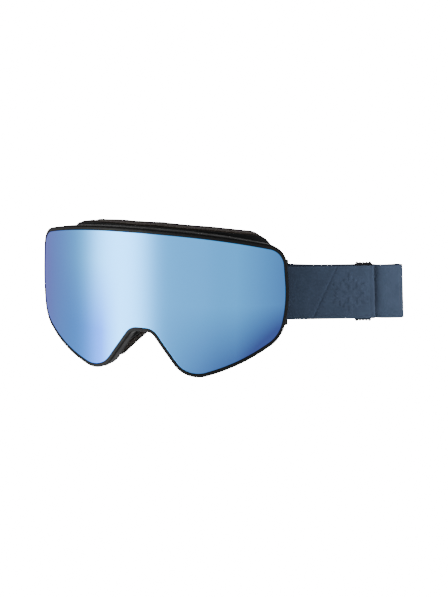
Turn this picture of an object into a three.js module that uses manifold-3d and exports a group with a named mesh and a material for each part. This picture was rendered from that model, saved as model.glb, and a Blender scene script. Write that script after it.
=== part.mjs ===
// Ski goggles: a cylindrical double lens in a carrier that magnets hold on a vented face frame, three
// layers of face foam, and an elastic strap on two hinged outriggers, with one slider.
// Millimetres, +Z up. The lens faces -Y, and the wearer's left is +X.
import * as THREE from 'three';
import { mergeVertices } from 'three/addons/utils/BufferGeometryUtils.js';
import Module from 'manifold-3d';

const wasm = await Module();
wasm.setup();

// ---------------------------------------------------------------- driving dimensions
const LENS_RADIUS = 129.5;        // outer face of the lens, bent about a vertical axis
const OUTER_LENS_THICKNESS = 1.6;
const AIR_GAP = 3.1;              // from the back of the outer lens to the inner lens
const INNER_LENS_THICKNESS = 1.0;
const CARRIER_DEPTH = 6.4;        // lens face to the back of the carrier
const RIM_WIDTH = 1.8;            // carrier that shows round the lens
const FIT_GAP = 0.3;              // clearance left between touching pieces

const FACE_RADIUS = 107;          // curve of the face side of the frame, in plan
const FACE_FRONT = 24;            // lens face to the back of the frame, at the nose
const FACE_FLANGE = 11;           // width of the flange that carries the face foam
const FOAM_LAYERS = [             // name, thickness, how far it stands out of the flange
  ['face_foam_base', 7.0, 0.6],
  ['face_foam_mid', 4.0, 0.3],
  ['face_foam_fleece', 1.6, 0.8],
];

const STRAP_WIDTH = 36.7;
const STRAP_THICKNESS = 1.6;
const STRAP_HEIGHT = 7.6;         // middle of the strap's width, above the lens blank's datum
const LAYER_OFFSET = 2.4;         // strap layer to the middle of a doubled strap
const BAR = new THREE.Vector2(83.4, 50);        // strap bar of the left outrigger
const PIN = new THREE.Vector2(79.4, 47.2);      // hinge axis of the left outrigger
const STRAP_ANGLE = THREE.MathUtils.degToRad(28);
const FAR_STRAP_ANGLE = THREE.MathUtils.degToRad(110);
const WRAP_LEG = 1.6;             // straight part of the strap that stays with an outrigger
const STRAP_REACH = 81;           // strap bar to the end fold
const FOLD_RADIUS = 2.2;
const SLIDER_START = 47.9;        // strap bar to the near end of the slider
const SLIDER_LENGTH = 11.2;
const FLOOR = -47.2;              // level that the frame's lands stand on

// Half outlines, from the top centre round to the nose: [across, up, corner radius]. The lens outline
// is that of the flat blank before it is bent. The face outline is the frame's back edge, laid flat.
const LENS_OUTLINE = [
  [0, 51.3, 0], [50.8, 50.2, 360], [97.5, 39.3, 14], [100.7, 3.8, 90], [95.6, -19.2, 22],
  [67, -36.8, 157], [32.1, -47.7, 19], [7.8, -15.3, 8.8], [0, -15.2, 0],
];
const FACE_OUTLINE = [
  [0, 51, 0], [39.5, 49.4, 240], [77.5, 45.3, 17], [91, 4, 58], [87.5, -18, 20],
  [64, -38.5, 80], [41.5, -46.5, 12], [6.5, -19.5, 7], [0, -19.3, 0],
];
const CORNER_STEPS = [0, 8, 6, 2, 4, 6, 6, 4, 0];
const STRAIGHT_STEPS = [2, 1, 1, 1, 1, 1, 4, 1];   // on the straight that follows each corner

// ---------------------------------------------------------------- materials
const plastic = (color, roughness) => new THREE.MeshStandardMaterial({ color, roughness, metalness: 0 });
const LOOKS = {
  mirror: new THREE.MeshStandardMaterial({ color: 0x82b0dc, roughness: 0.08, metalness: 0.9 }),
  clear: plastic(0x9fb4c4, 0.1),
  carrier: plastic(0x17181a, 0.45),
  frame: plastic(0x1d1e20, 0.6),
  seal: plastic(0x101112, 0.95),
  foam: plastic(0x1c1a19, 0.95),
  fleece: plastic(0x141414, 1),
  steel: new THREE.MeshStandardMaterial({ color: 0x8d9094, roughness: 0.3, metalness: 1 }),
  slider: plastic(0x0d0d0e, 0.4),
  webbing: plastic(0x43566b, 0.9),
  silicone: plastic(0x9aa3ab, 0.3),
};

// ---------------------------------------------------------------- outlines and the two curved surfaces
// Rounds one corner of an outline with an arc of the given number of steps.
function roundCorner(before, corner, after, radius, steps) {
  const u = before.clone().sub(corner).normalize();
  const v = after.clone().sub(corner).normalize();
  const half = Math.acos(u.dot(v)) / 2;
  const centre = corner.clone().add(u.clone().add(v).normalize().multiplyScalar(radius / Math.sin(half)));
  const first = corner.clone().addScaledVector(u, radius / Math.tan(half)).sub(centre);
  const turn = Math.sign(u.cross(v)) * (Math.PI - 2 * half);
  return Array.from({ length: steps + 1 }, (_, i) =>
    first.clone().rotateAround(new THREE.Vector2(), -turn * i / steps).add(centre));
}

// A closed outline, clockwise from the top centre. offset, a number or a function of the point, moves it
// outwards.
function outline(table, offset = 0) {
  const corners = table.map(([across, up]) => new THREE.Vector2(across, up));
  const arcs = table.map(([, , radius], i) => (radius === 0
    ? [corners[i]]
    : roundCorner(corners[i - 1], corners[i], corners[i + 1], radius, CORNER_STEPS[i])));
  const half = arcs.flatMap((arc, i) => {
    const steps = STRAIGHT_STEPS[i] ?? 1;
    const between = Array.from({ length: steps - 1 }, (_, k) =>
      arc.at(-1).clone().lerp(arcs[i + 1][0], (k + 1) / steps));
    return [...arc, ...between];
  });
  const mirrored = half.slice(1, -1).reverse().map((p) => new THREE.Vector2(-p.x, p.y));
  const points = [...half, ...mirrored];
  return points.map((p, i) => {
    const along = points[(i + 1) % points.length].clone().sub(points.at(i - 1)).normalize();
    const distance = typeof offset === 'function' ? offset(p) : offset;
    return new THREE.Vector2(p.x - along.y * distance, p.y + along.x * distance);
  });
}

// A point of a flat outline, bent round a vertical cylinder. depth runs from the surface to its axis.
function bend(point, radius, front, depth) {
  const angle = point.x / radius;
  const r = radius - depth;
  return new THREE.Vector3(r * Math.sin(angle), front + radius - r * Math.cos(angle), point.y);
}
const lensRing = (offset, depth) => outline(LENS_OUTLINE, offset)
  .map((p) => bend(p, LENS_RADIUS, 0, depth));
const faceRing = (offset, depth) => outline(FACE_OUTLINE, offset)
  .map((p) => bend(p, FACE_RADIUS, FACE_FRONT, depth));

// ---------------------------------------------------------------- closed solids from rings of points
function geometryFrom(points, triangles) {
  const geometry = new THREE.BufferGeometry();
  geometry.setAttribute('position', new THREE.Float32BufferAttribute(points.flatMap((p) => p.toArray()), 3));
  const volume = triangles.reduce((sum, [a, b, c]) =>
    sum + points[a].dot(points[b].clone().cross(points[c])), 0);
  const outwards = volume > 0 ? triangles : triangles.map(([a, b, c]) => [a, c, b]);
  geometry.setIndex(outwards.flat());
  return geometry;
}

function bands(rings, closed) {
  const n = rings[0].length;
  const triangles = [];
  const last = closed ? rings.length : rings.length - 1;
  for (let k = 0; k < last; k += 1) {
    const here = k * n;
    const next = ((k + 1) % rings.length) * n;
    for (let i = 0; i < n; i += 1) {
      const j = (i + 1) % n;
      triangles.push([here + i, next + i, next + j], [here + i, next + j, here + j]);
    }
  }
  return triangles;
}

// A hoop: the rings follow one another round its section, back to the first.
function hoop(rings) {
  return geometryFrom(rings.flat(), bands(rings, true));
}

// A bar or shell closed by a fan to one point at each end.
function capped(rings, firstPoint, lastPoint) {
  const n = rings[0].length;
  const points = [...rings.flat(), firstPoint, lastPoint];
  const triangles = bands(rings, false);
  const [first, last, base] = [points.length - 2, points.length - 1, (rings.length - 1) * n];
  for (let i = 0; i < n; i += 1) {
    const j = (i + 1) % n;
    triangles.push([first, i, j], [last, base + j, base + i]);
  }
  return geometryFrom(points, triangles);
}

const middle = (ring) => ring.reduce((sum, p) => sum.add(p), new THREE.Vector3())
  .divideScalar(ring.length);

// ---------------------------------------------------------------- booleans
function solid(geometry) {
  const plain = geometry.clone();
  plain.deleteAttribute('normal');
  plain.deleteAttribute('uv');
  const merged = mergeVertices(plain, 1e-4);
  return new wasm.Manifold(new wasm.Mesh({
    numProp: 3,
    vertProperties: new Float32Array(merged.attributes.position.array),
    triVerts: new Uint32Array(merged.index.array),
  }));
}

function geometryOf(manifold) {
  const { vertProperties, triVerts, numProp } = manifold.getMesh();
  const position = new Float32Array((vertProperties.length / numProp) * 3);
  for (let i = 0; i * numProp < vertProperties.length; i += 1) {
    position.set(vertProperties.subarray(i * numProp, i * numProp + 3), i * 3);
  }
  const geometry = new THREE.BufferGeometry();
  geometry.setAttribute('position', new THREE.BufferAttribute(position, 3));
  geometry.setIndex([...triVerts]);
  return geometry;
}

const join = (geometries) => geometries.map(solid).reduce((a, b) => a.add(b));
const cut = (manifold, geometries) => geometries.map(solid).reduce((a, b) => a.subtract(b), manifold);

const box = (x, y, z, centre) => new THREE.BoxGeometry(x, y, z).translate(...centre);
const uprightCylinder = (radius, low, high, at, sides = 12) => new THREE
  .CylinderGeometry(radius, radius, high - low, sides)
  .rotateX(Math.PI / 2).translate(at.x, at.y, (low + high) / 2);

// ---------------------------------------------------------------- the model
const group = new THREE.Group();
function add(name, geometry, look) {
  const mesh = new THREE.Mesh(geometry, look);
  mesh.name = name;
  group.add(mesh);
  return mesh;
}

// The two edges of a blank, each from its left end to its right end, are zipped together across its
// width, so that every triangle is narrow and follows the bend.
function zipAcross(flat) {
  const indices = flat.map((_, i) => i);
  const left = indices.reduce((best, i) => (flat[i].x < flat[best].x ? i : best), 0);
  const right = indices.reduce((best, i) => (flat[i].x > flat[best].x ? i : best), 0);
  const upper = [...indices.slice(left), ...indices.slice(0, right + 1)];
  const lower = indices.slice(right, left + 1).reverse();
  const triangles = [];
  let [i, j] = [0, 0];
  while (i < upper.length - 1 || j < lower.length - 1) {
    const nextUp = upper[i + 1];
    const nextLow = lower[j + 1];
    const takeUpper = nextLow === undefined || (nextUp !== undefined && flat[nextUp].x <= flat[nextLow].x);
    const corners = [upper[i], lower[j], takeUpper ? nextUp : nextLow];
    if (new Set(corners).size === 3) triangles.push(corners);
    if (takeUpper) i += 1;
    else j += 1;
  }
  return triangles;
}

// A sheet bent with the lens.
function bentSheet(offset, depth, thickness) {
  const flat = outline(LENS_OUTLINE, offset);
  const [front, back] = [depth, depth + thickness]
    .map((level) => flat.map((p) => bend(p, LENS_RADIUS, 0, level)));
  const face = zipAcross(flat);
  return geometryFrom([...back, ...front], [
    ...bands([back, front], false),
    ...face.map(([p, q, r]) => [p, r, q]),
    ...face.map((corners) => corners.map((index) => index + flat.length)),
  ]);
}

const innerLensDepth = OUTER_LENS_THICKNESS + AIR_GAP;
const LIP_EDGE = -5.5;            // inner edge of the carrier, inside the lens outline
const SEAL_EDGE = LIP_EDGE - 0.4;
add('lens_outer', bentSheet(0, 0, OUTER_LENS_THICKNESS), LOOKS.mirror);
add('lens_inner', bentSheet(SEAL_EDGE, innerLensDepth, INNER_LENS_THICKNESS), LOOKS.clear);

const sealFront = OUTER_LENS_THICKNESS + FIT_GAP;
const sealBack = innerLensDepth - FIT_GAP;
add('lens_seal', hoop([
  lensRing(SEAL_EDGE, sealFront), lensRing(SEAL_EDGE, sealBack),
  lensRing(SEAL_EDGE - 3, sealBack), lensRing(SEAL_EDGE - 3, sealFront),
]), LOOKS.seal);

// ---- magnets: one set in the back of the carrier, the other in the front of the frame
const MAGNET = [10, 1.7, 3.2];    // along the rim, through it, across it
const MAGNET_SPOTS = [[62, 1], [98, 0], [52, -1]];   // across the blank; top, side or bottom edge
function magnetPlace(across, edge) {
  const rim = outline(LENS_OUTLINE, (LIP_EDGE + RIM_WIDTH) / 2);
  const wanted = (p) => (edge === 0
    ? Math.abs(p.y - 8) + (p.x * across > 0 ? 0 : 1000)
    : Math.abs(p.x - across) + (p.y * edge > 12 ? 0 : 1000));
  const index = rim.reduce((best, p, i) => (wanted(p) < wanted(rim[best]) ? i : best), 0);
  const along = rim[(index + 1) % rim.length].clone().sub(rim.at(index - 1));
  return { spot: rim[index], tilt: Math.atan2(along.y, along.x) };
}
function magnetBlock({ spot, tilt }, depth, size) {
  const at = bend(spot, LENS_RADIUS, 0, depth);
  return new THREE.BoxGeometry(...size).rotateY(-tilt).rotateZ(spot.x / LENS_RADIUS)
    .translate(...at.toArray());
}
const places = [1, -1].flatMap((side) => MAGNET_SPOTS.map(([across, edge]) =>
  magnetPlace(side * across, edge)));
const carrierMagnetDepth = CARRIER_DEPTH - MAGNET[1] / 2 - 0.1;
const FRAME_FRONT = CARRIER_DEPTH + 0.4;
const frameMagnetDepth = FRAME_FRONT + MAGNET[1] / 2 + 0.1;
const pocket = (place, depth, opens) => magnetBlock(place, depth + opens * 0.7,
  [MAGNET[0] + 2 * FIT_GAP, MAGNET[1] + 2, MAGNET[2] + 2 * FIT_GAP]);
places.forEach((place, i) => {
  add(`carrier_magnet_${i + 1}`, magnetBlock(place, carrierMagnetDepth, MAGNET), LOOKS.steel);
  add(`frame_magnet_${i + 1}`, magnetBlock(place, frameMagnetDepth, MAGNET), LOOKS.steel);
});

// ---- carrier: the rim round the outer lens, with a lip behind it
const carrier = solid(hoop([
  lensRing(FIT_GAP, 0.5), lensRing(RIM_WIDTH - 0.3, 0.7), lensRing(RIM_WIDTH, 1.4),
  lensRing(RIM_WIDTH, CARRIER_DEPTH), lensRing(LIP_EDGE, CARRIER_DEPTH), lensRing(LIP_EDGE, sealFront),
  lensRing(FIT_GAP, sealFront),
]));
const carrierPockets = places.map((place) => pocket(place, carrierMagnetDepth, 1));
add('lens_carrier', geometryOf(cut(carrier, carrierPockets)), LOOKS.carrier);

// ---- frame: front flange, a neck with vent slots, and the flange that carries the foam
const NECK_WALL = 2.4;
const FLANGE_EDGE = -7.5;         // inner edge of the front flange
const SIDE_RECESS = 6;            // how much deeper the neck is beside the outriggers
const sideways = (p, from, to) => THREE.MathUtils.smoothstep(Math.abs(p.x), from, to);
const neckFront = (inset) => (p) => -1.8 - inset - SIDE_RECESS * sideways(p, 70, 93);
const neckBack = (inset) => (p) => -2.6 - inset - SIDE_RECESS * sideways(p, 62, 84);
const frameLoft = hoop([
  lensRing(RIM_WIDTH - 0.4, FRAME_FRONT), lensRing(RIM_WIDTH - 0.4, 10),
  lensRing(neckFront(0), 10.6), faceRing(neckBack(0), -3.2),
  faceRing(0, -2.4), faceRing(0, 0), faceRing(-FACE_FLANGE, 0), faceRing(-FACE_FLANGE, -2.2),
  faceRing(neckBack(NECK_WALL), -2.8), lensRing(neckFront(NECK_WALL), 10.2),
  lensRing((p) => Math.min(FLANGE_EDGE, neckFront(NECK_WALL)(p) - 0.6), 9.6),
  lensRing(FLANGE_EDGE, FRAME_FRONT),
]);

const ARM = 3.5;                  // height of an outrigger's arm, and of a hinge lug less its gap
const strapTop = STRAP_HEIGHT + STRAP_WIDTH / 2;
const strapBottom = STRAP_HEIGHT - STRAP_WIDTH / 2;
const armLevels = [[strapTop + 0.5, strapTop + 0.5 + ARM], [strapBottom - 0.5 - ARM, strapBottom - 0.5]];
const lugLevels = [
  [armLevels[0][1] + FIT_GAP, armLevels[0][1] + FIT_GAP + ARM],
  [armLevels[1][0] - FIT_GAP - ARM, armLevels[1][0] - FIT_GAP],
];
const PIN_RADIUS = 1.0;
const LUG_RADIUS = 2.3;
const mirroredAt = (point, side) => new THREE.Vector2(side * point.x, point.y);
const lugs = [1, -1].flatMap((side) => lugLevels.flatMap(([low, high]) => [
  uprightCylinder(LUG_RADIUS, low, high, mirroredAt(PIN, side)),
  box(8, 2 * LUG_RADIUS, high - low, [side * (PIN.x - 4), PIN.y, (low + high) / 2]),
]));
const lands = [1, -1].map((side) => box(9, 14, 5, [side * 37.5, 21.8, FLOOR + 2.5]));

const TOP_SLOTS = [-60, -36, -12, 12, 36, 60];
const topSlots = TOP_SLOTS.map((x) => box(17, 4.6, 24, [x, 16.8 + (x * x) / 236, 48]));
const bottomSlots = [1, -1].flatMap((side) => [50, 66].map((x) =>
  box(11, 4.4, 24, [side * x, 17.2 + (x * x) / 236, -40])));
const framePockets = places.map((place) => pocket(place, frameMagnetDepth, -1));
const pinHoles = [1, -1].map((side) =>
  uprightCylinder(PIN_RADIUS + FIT_GAP, lugLevels[1][0] - 1, lugLevels[0][1] + 1, mirroredAt(PIN, side)));
const frameBlank = [...lugs, ...lands].map(solid).reduce((a, b) => a.add(b), solid(frameLoft));
add('frame', geometryOf(cut(frameBlank, [...topSlots, ...bottomSlots, ...framePockets, ...pinHoles])),
  LOOKS.frame);

// ---- vent foam: thin strips that close the slots from inside the neck
function ventStrip(name, from, to, edge) {
  const steps = Math.max(3, Math.round(Math.abs(to - from) / 9));
  const inside = outline(LENS_OUTLINE, (p) => neckFront(NECK_WALL)(p) - 1.0)
    .filter((p) => Math.sign(p.y) === edge && Math.abs(p.x) < 96)
    .sort((a, b) => a.x - b.x);
  const levelAt = (x) => {
    const k = Math.max(1, inside.findIndex((p) => p.x >= x));
    const [a, b] = [inside[k - 1], inside[k]];
    return THREE.MathUtils.mapLinear(x, a.x, b.x, a.y, b.y);
  };
  const sections = Array.from({ length: steps + 1 }, (_, i) => {
    const x = THREE.MathUtils.lerp(from, to, i / steps);
    const level = levelAt(x);
    return [[11.2, 0], [15.6, 0], [15.6, 2.4], [11.2, 2.4]]
      .map(([depth, drop]) => bend(new THREE.Vector2(x, level - edge * drop), LENS_RADIUS, 0, depth));
  });
  add(name, capped(sections, middle(sections[0]), middle(sections.at(-1))), LOOKS.foam);
}
ventStrip('top_vent_foam', -74, 74, 1);
ventStrip('bottom_vent_foam_left', 44, 74, -1);
ventStrip('bottom_vent_foam_right', -74, -44, -1);

// ---- face foam: three layers on the back flange
let depth = FIT_GAP;
FOAM_LAYERS.forEach(([name, thickness, proud]) => {
  const back = depth + thickness;
  add(name, hoop([
    faceRing(proud, depth), faceRing(proud, back),
    faceRing(-FACE_FLANGE - proud, back), faceRing(-FACE_FLANGE - proud, depth),
  ]), name.endsWith('fleece') ? LOOKS.fleece : LOOKS.foam);
  depth = back + FIT_GAP;
});

// ---- outriggers: two arms and the strap bar in one moulding, on a steel pin
function outrigger(name, side) {
  const [pin, bar] = [mirroredAt(PIN, side), mirroredAt(BAR, side)];
  const along = bar.clone().sub(pin);
  const arms = armLevels.flatMap(([low, high]) => [
    uprightCylinder(LUG_RADIUS, low, high, pin),
    uprightCylinder(LUG_RADIUS, low, high, bar),
    new THREE.BoxGeometry(along.length(), 2 * LUG_RADIUS, high - low)
      .rotateZ(along.angle())
      .translate((pin.x + bar.x) / 2, (pin.y + bar.y) / 2, (low + high) / 2),
  ]);
  const strapBar = uprightCylinder(1.3, armLevels[1][0] + 1, armLevels[0][1] - 1, bar);
  const hole = uprightCylinder(PIN_RADIUS + FIT_GAP, armLevels[1][0] - 1, armLevels[0][1] + 1, pin);
  add(name, geometryOf(cut(join([...arms, strapBar]), [hole])), LOOKS.carrier);
}
function hingePin(name, side) {
  const [low, high, head] = [lugLevels[1][0], lugLevels[0][1] + FIT_GAP, 0.9];
  const profile = [[0, low], [PIN_RADIUS, low], [PIN_RADIUS, high], [1.8, high], [1.8, high + head],
    [0, high + head]].map(([r, z]) => new THREE.Vector2(r, z));
  const geometry = new THREE.LatheGeometry(profile, 12).rotateX(Math.PI / 2);
  add(name, geometry.translate(side * PIN.x, PIN.y, 0), LOOKS.steel);
}
outrigger('outrigger_left', 1);
outrigger('outrigger_right', -1);
hingePin('hinge_pin_left', 1);
hingePin('hinge_pin_right', -1);

// ---- strap: flat webbing that stands on its edge and follows a path in plan
function ribbon(path, width, thickness) {
  const sections = path.map((point, i) => {
    const ahead = path[Math.min(i + 1, path.length - 1)];
    const behind = path[Math.max(i - 1, 0)];
    const across = new THREE.Vector3(ahead.y - behind.y, behind.x - ahead.x, 0).normalize();
    return [[1, -1], [1, 1], [-1, 1], [-1, -1]].map(([a, b]) => point.clone()
      .addScaledVector(across, a * thickness / 2)
      .add(new THREE.Vector3(0, 0, b * width / 2)));
  });
  return capped(sections, middle(sections[0]), middle(sections.at(-1)));
}

// Points beside a doubled strap: along it from its bar, and to its outer side.
function besideStrap(side, angle) {
  const start = mirroredAt(BAR, side);
  const along = new THREE.Vector2(Math.cos(angle), Math.sin(angle));
  const outwards = new THREE.Vector2(along.y, -along.x).multiplyScalar(side);
  return (distance, offset, height = STRAP_HEIGHT) => new THREE.Vector3(
    start.x + along.x * distance + outwards.x * offset,
    start.y + along.y * distance + outwards.y * offset, height);
}
const near = besideStrap(1, STRAP_ANGLE);
const far = besideStrap(-1, FAR_STRAP_ANGLE);

function wrap(name, beside) {
  const turn = Array.from({ length: 9 }, (_, i) => {
    const angle = Math.PI * i / 8;
    return beside(-LAYER_OFFSET * Math.sin(angle), LAYER_OFFSET * Math.cos(angle));
  });
  const path = [beside(WRAP_LEG, LAYER_OFFSET), ...turn, beside(WRAP_LEG, -LAYER_OFFSET)];
  add(name, ribbon(path, STRAP_WIDTH, STRAP_THICKNESS), LOOKS.webbing);
}
wrap('strap_wrap_left', near);
wrap('strap_wrap_right', far);

const LAYER_START = WRAP_LEG + FIT_GAP;
const panelEnd = SLIDER_START + SLIDER_LENGTH + 1;
const stretch = (beside, from, to, offset, steps) => Array.from({ length: steps + 1 }, (_, i) =>
  beside(THREE.MathUtils.lerp(from, to, i / steps), offset));
add('strap_panel', ribbon(stretch(near, LAYER_START, panelEnd, LAYER_OFFSET, 3), STRAP_WIDTH,
  STRAP_THICKNESS), LOOKS.webbing);
add('strap_hem_right', ribbon(stretch(far, LAYER_START, 22, -LAYER_OFFSET, 2), STRAP_WIDTH,
  STRAP_THICKNESS), LOOKS.webbing);

// The rear strap passes behind the slider, folds, and runs back behind the foam to the right outrigger.
const foldTurn = Array.from({ length: 7 }, (_, i) => {
  const angle = Math.PI * i / 6;
  const along = STRAP_REACH - STRAP_THICKNESS / 2 - FOLD_RADIUS + FOLD_RADIUS * Math.sin(angle);
  return near(along, FOLD_RADIUS * (Math.cos(angle) - 1));
});
const BACK_ROUTE = [[118, 83.5, 5.2], [70, 89.5, 1], [10, 92, 1.5], [-48, 91, 5], [-84, 85.5, 8]];
const backCurve = new THREE.CatmullRomCurve3([
  near(70, -2 * FOLD_RADIUS - 0.3, STRAP_HEIGHT - 0.8),
  ...BACK_ROUTE.map((p) => new THREE.Vector3(...p)),
  far(22, LAYER_OFFSET), far(12, LAYER_OFFSET),
], false, 'centripetal');
const backRun = backCurve.getSpacedPoints(26);
const rearPath = [
  ...stretch(near, LAYER_START, panelEnd + 0.5, -LAYER_OFFSET, 3), near(69, -0.2), ...foldTurn,
  ...backRun, far(LAYER_START, LAYER_OFFSET),
];
add('strap_rear', ribbon(rearPath, STRAP_WIDTH, STRAP_THICKNESS), LOOKS.webbing);

// ---- silicone grip beads along the inside of the rear strap
const BEAD_HEIGHTS = [10, 0, -10];
BEAD_HEIGHTS.forEach((height, i) => {
  const inside = STRAP_THICKNESS / 2 + FIT_GAP + 0.4;
  const path = backRun.slice(7, 17).map((p) => p.clone().add(new THREE.Vector3(0, -inside, height)));
  add(`grip_bead_${i + 1}`, ribbon(path, 2.2, 0.8), LOOKS.silicone);
});

// ---- slider: three bars between two ribbed end caps
const SLIDER_DEPTH = 2 * (LAYER_OFFSET - STRAP_THICKNESS / 2 - FIT_GAP);
const CAP = 0.9;                  // height of an end cap, without its ribs
const RIBS = 5;
const capGap = 0.25;
const barOffsets = [-1, 0, 1].map((k) => k * (SLIDER_LENGTH / 2 - 1.1));
const sliderPieces = [
  ...barOffsets.map((x) => box(2, SLIDER_DEPTH, STRAP_WIDTH + 2 * capGap + CAP, [x, 0, 0])),
  ...[1, -1].flatMap((end) => {
    const level = end * (STRAP_WIDTH / 2 + capGap + CAP / 2);
    const ribs = Array.from({ length: RIBS }, (_, i) => new THREE.CylinderGeometry(0.8, 0.8, 5, 8)
      .translate((i - (RIBS - 1) / 2) * 2.2, 0, level + end * 0.45));
    return [box(SLIDER_LENGTH, 5, CAP, [0, 0, level]), ...ribs];
  }),
];
const slider = add('slider', geometryOf(join(sliderPieces)), LOOKS.slider);
slider.position.copy(near(SLIDER_START + SLIDER_LENGTH / 2, 0));
slider.rotation.z = STRAP_ANGLE;

// ---------------------------------------------------------------- origin: middle of the footprint
const extent = new THREE.Box3().setFromObject(group);
const footprint = extent.getCenter(new THREE.Vector3());
group.position.set(-footprint.x, -footprint.y, -extent.min.z);

export default group;
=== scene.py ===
"""Ski goggles: the visual model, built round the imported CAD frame.

Points are worked out in goggle millimetres, with X = 0 the middle plane, Y = 0 the front of the lens and
Z = 0 the datum of the lens blank, and are placed in the frame's metres as each mesh is made.
"""
import math

import bmesh
import bpy
import numpy as np
from mathutils import Matrix, Vector, noise


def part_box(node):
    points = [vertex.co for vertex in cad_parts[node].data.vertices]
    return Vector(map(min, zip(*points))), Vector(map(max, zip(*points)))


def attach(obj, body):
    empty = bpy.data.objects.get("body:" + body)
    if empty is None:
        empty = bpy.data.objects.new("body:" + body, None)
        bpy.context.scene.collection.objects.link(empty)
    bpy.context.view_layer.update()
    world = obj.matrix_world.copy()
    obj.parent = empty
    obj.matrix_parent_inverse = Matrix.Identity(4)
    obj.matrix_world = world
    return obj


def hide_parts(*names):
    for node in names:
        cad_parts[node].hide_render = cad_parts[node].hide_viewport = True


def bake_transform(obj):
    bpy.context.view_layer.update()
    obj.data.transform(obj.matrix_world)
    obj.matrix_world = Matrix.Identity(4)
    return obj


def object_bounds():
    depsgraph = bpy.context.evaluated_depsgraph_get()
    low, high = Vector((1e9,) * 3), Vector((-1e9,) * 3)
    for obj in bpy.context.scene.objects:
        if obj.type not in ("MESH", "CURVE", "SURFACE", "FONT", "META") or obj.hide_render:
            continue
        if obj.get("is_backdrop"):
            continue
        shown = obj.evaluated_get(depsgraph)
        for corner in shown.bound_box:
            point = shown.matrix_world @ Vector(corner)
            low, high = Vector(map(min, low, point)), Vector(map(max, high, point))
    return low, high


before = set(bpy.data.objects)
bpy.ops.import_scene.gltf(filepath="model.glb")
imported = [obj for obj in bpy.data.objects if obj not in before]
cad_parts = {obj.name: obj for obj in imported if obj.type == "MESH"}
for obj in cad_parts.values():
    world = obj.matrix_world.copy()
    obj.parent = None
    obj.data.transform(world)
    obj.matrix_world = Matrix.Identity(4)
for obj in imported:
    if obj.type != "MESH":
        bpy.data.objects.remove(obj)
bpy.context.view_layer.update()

# ---------------- sizes, as in the CAD model
MM = 0.001
LENS_RADIUS = 129.5
LENS_THICKNESS = 1.6
INNER_LENS_DEPTH, INNER_LENS_THICKNESS = 4.7, 1.0
CARRIER_DEPTH = 6.4
RIM_WIDTH = 1.8
LIP_EDGE = -5.5  # inner edge of the carrier
SEAL_EDGE = LIP_EDGE - 0.4
FRAME_FRONT = 6.8
FLANGE_EDGE = -7.5
NECK_WALL = 2.4
SIDE_RECESS = 6.0
FACE_RADIUS, FACE_FRONT, FACE_FLANGE = 107.0, 24.0, 11.0
FOAM_LAYERS = [  # name, depth of its front, depth of its back, how far it stands out
    ("face_foam_base", 0.05, 7.42, 0.6),
    ("face_foam_mid", 7.47, 11.7, 0.3),
    ("face_foam_fleece", 11.75, 13.5, 0.8),
]
STRAP_WIDTH, STRAP_THICKNESS, STRAP_HEIGHT = 36.7, 1.6, 7.6
LAYER_OFFSET = 2.4  # strap layer to the middle of a doubled strap
BAR, PIN = np.array([83.4, 50.0]), np.array([79.4, 47.2])
STRAP_ANGLE, FAR_STRAP_ANGLE = math.radians(28), math.radians(110)
STRAP_REACH, FOLD_RADIUS = 81.0, 2.2
SLIDER_START, SLIDER_LENGTH = 47.9, 11.2
STRAP_BOTTOM, STRAP_TOP = STRAP_HEIGHT - STRAP_WIDTH / 2, STRAP_HEIGHT + STRAP_WIDTH / 2
FLOOR = -47.2
ARM_HEIGHT, ARM_GAP, LUG_GAP = 3.5, 0.5, 0.3  # the gaps are from strap to arm and from arm to lug
LUG_RADIUS, PIN_RADIUS, BAR_RADIUS = 2.3, 1.0, 1.3

LENS_OUTLINE = [  # across, up, corner radius: half, from the top centre to the nose
    (0, 51.3, 0), (50.8, 50.2, 360), (97.5, 39.3, 14), (100.7, 3.8, 90), (95.6, -19.2, 22),
    (67, -36.8, 157), (32.1, -47.7, 19), (7.8, -15.3, 8.8), (0, -15.2, 0),
]
FACE_OUTLINE = [
    (0, 51, 0), (39.5, 49.4, 240), (77.5, 45.3, 17), (91, 4, 58), (87.5, -18, 20),
    (64, -38.5, 80), (41.5, -46.5, 12), (6.5, -19.5, 7), (0, -19.3, 0),
]
REFINE = 4  # finer than the CAD outlines by this factor
CORNER_STEPS = [0, 8, 6, 2, 4, 6, 6, 4, 0]
STRAIGHT_STEPS = [2, 1, 1, 1, 1, 1, 4, 1]

lens_low, lens_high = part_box("lens_outer")
ORIGIN = np.array([
    (lens_low.x + lens_high.x) / 2, lens_low.y, lens_high.z - LENS_OUTLINE[0][1] * MM,
])


def to_frame(points):
    """Goggle millimetres to the frame's metres."""
    return np.asarray(points, float) * MM + ORIGIN


def to_goggle(point):
    return (np.array(point) - ORIGIN) / MM


# ---------------- meshes from points
SHARP_ANGLE = math.radians(50)  # edges that turn more than this stay crisp


# A shape is (points, faces), in goggle millimetres.
def combine(*shapes):
    points, faces, start = [], [], 0
    for some_points, some_faces in shapes:
        points.append(np.asarray(some_points, float))
        faces += [[start + i for i in face] for face in some_faces]
        start += len(some_points)
    return np.vstack(points), faces


def mirrored(shape):
    points, faces = shape
    return np.asarray(points) * [-1, 1, 1], faces


def both_sides(*shapes):
    return combine(*shapes, *map(mirrored, shapes))


def placed(name, data):
    """A new object in the scene."""
    item = bpy.data.objects.new(name, data)
    bpy.context.scene.collection.objects.link(item)
    return item


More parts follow.
